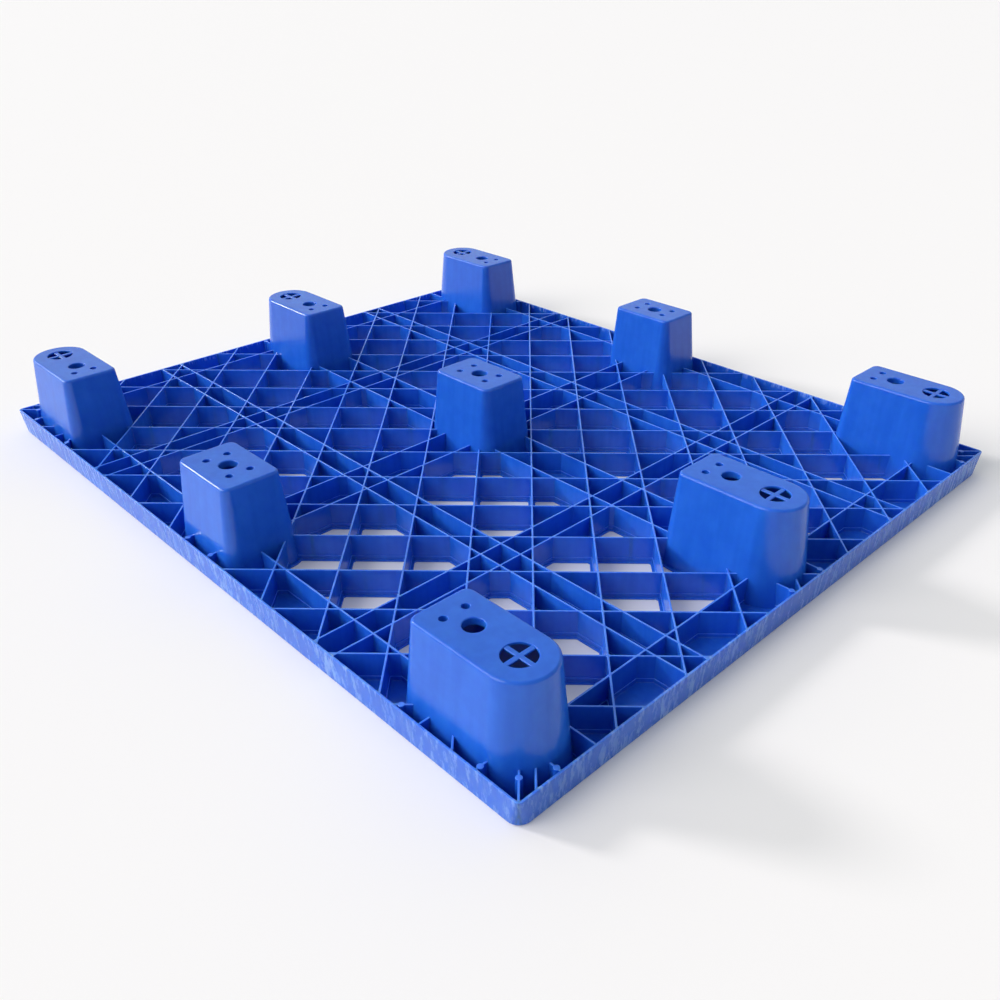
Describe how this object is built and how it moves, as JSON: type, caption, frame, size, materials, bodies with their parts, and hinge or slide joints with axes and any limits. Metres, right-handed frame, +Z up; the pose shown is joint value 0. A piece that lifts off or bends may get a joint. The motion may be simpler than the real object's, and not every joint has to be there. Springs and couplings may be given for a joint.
{
  "type": "plastic pallet",
  "caption": "Nestable plastic pallet lying on its load face: thin deck with a diagonal rib lattice, low skirts, and hollow tapered legs with drain holes pointing up.",
  "frame": {"origin": "centre of the load face, which is the surface that the stored pallet rests on", "axes": "+X along the long side, +Y along the short side, +Z up from the load face towards the ends of the legs; the pallet is stored upside down, as in the picture, so in use it is turned over about X"},
  "size_m": [1.2, 1, 0.135],
  "materials": {
    "blue_plastic": "semi-gloss moulded polyethylene, lightly scuffed"
  },
  "bodies": {
    "root": {"leg_front_left": "blue_plastic", "deck_front_mid_left": "blue_plastic", "leg_front_middle": "blue_plastic", "deck_front_mid_right": "blue_plastic", "leg_front_right": "blue_plastic", "deck_mid_front_left": "blue_plastic", "deck_mid_front_mid_left": "blue_plastic", "deck_mid_front_middle": "blue_plastic", "deck_mid_front_mid_right": "blue_plastic", "deck_mid_front_right": "blue_plastic", "leg_centre_left": "blue_plastic", "deck_centre_mid_left": "blue_plastic", "leg_centre_middle": "blue_plastic", "deck_centre_mid_right": "blue_plastic", "leg_centre_right": "blue_plastic", "deck_mid_back_left": "blue_plastic", "deck_mid_back_mid_left": "blue_plastic", "deck_mid_back_middle": "blue_plastic", "deck_mid_back_mid_right": "blue_plastic", "deck_mid_back_right": "blue_plastic", "leg_back_left": "blue_plastic", "deck_back_mid_left": "blue_plastic", "leg_back_middle": "blue_plastic", "deck_back_mid_right": "blue_plastic", "leg_back_right": "blue_plastic", "skirt_right": "blue_plastic", "skirt_back": "blue_plastic", "skirt_left": "blue_plastic", "skirt_front": "blue_plastic"}
  },
  "joints": []
}
